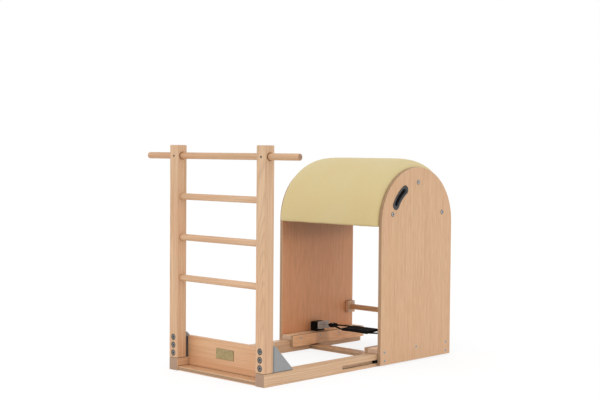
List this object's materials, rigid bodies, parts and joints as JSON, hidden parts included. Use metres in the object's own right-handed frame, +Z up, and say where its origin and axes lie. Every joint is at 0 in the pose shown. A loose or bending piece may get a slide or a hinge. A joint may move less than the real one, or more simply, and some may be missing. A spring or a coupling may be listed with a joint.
{
  "type": "pilates ladder barrel",
  "caption": "Exercise apparatus with a dowel ladder on two floor rails and a padded, arched barrel that slides along the rails and is held by sprung latches.",
  "frame": {"origin": "on the floor, in the middle of the whole length and width", "axes": "+X runs along the rails from the ladder to the barrel, +Y is the left side seen that way, +Z is up"},
  "size_m": [1.2739, 0.948, 1],
  "materials": {
    "beech": "oiled beech with open grain",
    "plywood": "lacquered beech plywood",
    "inner_plywood": "plain plywood, in shade",
    "upholstery": "parchment beige leatherette with a fine grain",
    "zinc_steel": "zinc-plated sheet steel",
    "steel": "bright steel",
    "black_plastic": "satin black",
    "black_webbing": "woven black",
    "brass": "aged brass, bare"
  },
  "bodies": {
    "base": {"rail_left": "beech", "rail_right": "beech", "post_left": "beech", "post_right": "beech", "gusset_left": "zinc_steel", "gusset_right": "zinc_steel", "post_bolt_lower_left": "steel", "post_bolt_lower_right": "steel", "post_bolt_middle_left": "steel", "post_bolt_middle_right": "steel", "post_bolt_upper_left": "steel", "post_bolt_upper_right": "steel", "top_bar": "beech", "rung_upper": "beech", "rung_middle": "beech", "rung_lower": "beech", "foot_board": "plywood", "kick_board": "beech", "name_plate": "brass", "tie_board": "plywood"},
    "barrel": {"runner_left": "beech", "runner_right": "beech", "lower_bar": "beech", "bar_block_left": "beech", "bar_block_right": "beech", "side_panel_left": "plywood", "side_panel_right": "plywood", "cheek_left": "plywood", "cheek_right": "plywood", "barrel_shell": "inner_plywood", "batten_front": "inner_plywood", "batten_top": "inner_plywood", "batten_rear": "inner_plywood", "barrel_pad": "upholstery", "panel_bolt_front_left": "steel", "panel_bolt_front_right": "steel", "panel_bolt_top_left": "steel", "panel_bolt_top_right": "steel", "panel_bolt_rear_left": "steel", "panel_bolt_rear_right": "steel", "latch_spring_left": "steel", "latch_spring_right": "steel", "hand_grip_left": "black_plastic", "hand_grip_right": "black_plastic", "guide_front_left": "black_plastic", "guide_front_right": "black_plastic", "guide_rear_left": "black_plastic", "guide_rear_right": "black_plastic", "latch_housing_left": "black_plastic", "latch_housing_right": "black_plastic"},
    "latch_left": {"latch_pin_left": "steel", "pull_plate_left": "zinc_steel"},
    "latch_right": {"latch_pin_right": "steel", "pull_plate_right": "zinc_steel"},
    "strap": {"pull_cord": "black_webbing", "hand_sleeve": "black_webbing", "strap_end_left": "black_webbing", "strap_end_right": "black_webbing"}
  },
  "joints": [
    {"name": "barrel_slide", "type": "slide", "parent": "base", "child": "barrel", "axis": [1, 0, 0], "range_m": [-0.2, 0]},
    {"name": "strap_lift", "type": "slide", "parent": "barrel", "child": "strap", "axis": [0, 0, 1], "range_m": [-0.012, 0]},
    {"name": "latch_left_drop", "type": "slide", "parent": "barrel", "child": "latch_left", "axis": [0, 0, 1], "range_m": [-0.012, 0], "stiffness_N_per_m": 350, "springref_m": -0.035, "deforming": ["latch_spring_left"]},
    {"name": "latch_right_drop", "type": "slide", "parent": "barrel", "child": "latch_right", "axis": [0, 0, 1], "range_m": [-0.012, 0], "stiffness_N_per_m": 350, "springref_m": -0.035, "deforming": ["latch_spring_right"]}
  ],
  "couplings": [
    {"joint": "latch_left_drop", "follows": "strap_lift", "ratio": 1},
    {"joint": "latch_right_drop", "follows": "strap_lift", "ratio": 1}
  ]
}
